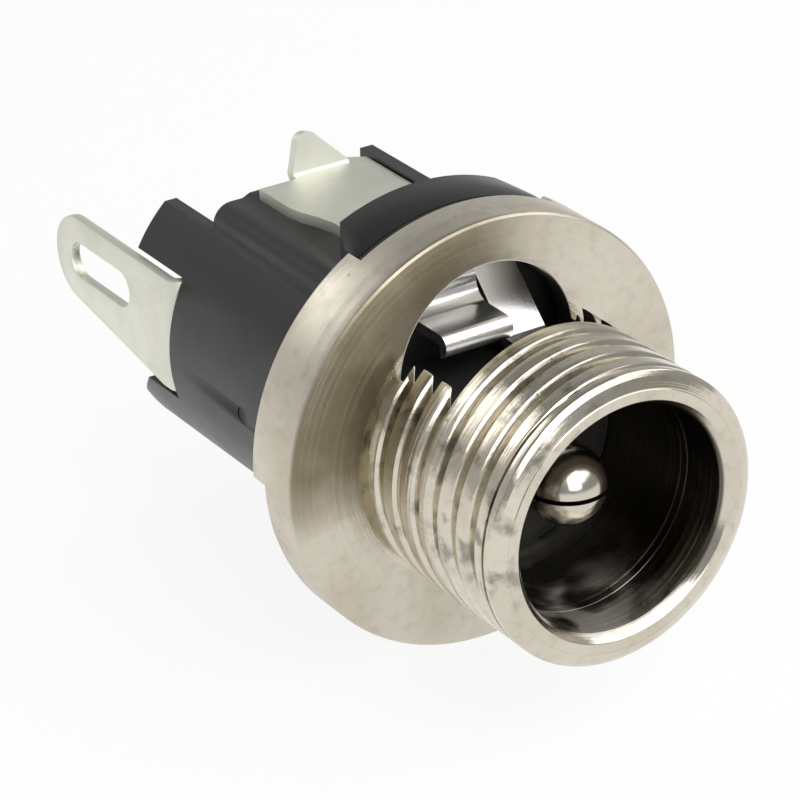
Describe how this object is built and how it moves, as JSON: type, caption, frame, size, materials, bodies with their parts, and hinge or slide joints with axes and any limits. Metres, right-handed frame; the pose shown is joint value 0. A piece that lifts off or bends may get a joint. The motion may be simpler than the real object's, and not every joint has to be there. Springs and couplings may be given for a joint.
{
  "type": "dc barrel jack",
  "caption": "Panel mount DC power jack: threaded metal barrel with flange, split centre pin, plastic rear body and solder lugs.",
  "frame": {"origin": "where the barrel axis meets the flange face that seats on the panel", "axes": "-Y out of the mouth along the barrel axis, +Z through the window and the top lug, -X to the side lug"},
  "size_m": [0.012, 0.021, 0.012],
  "materials": {
    "nickel": "satin nickel plate",
    "pin_nickel": "bright nickel plate",
    "tinned": "tin plate",
    "black_plastic": "satin black"
  },
  "bodies": {
    "root": {"shell": "nickel", "body": "black_plastic", "centre_pin": "pin_nickel", "side_lug": "tinned", "top_contact": "tinned"}
  },
  "joints": []
}
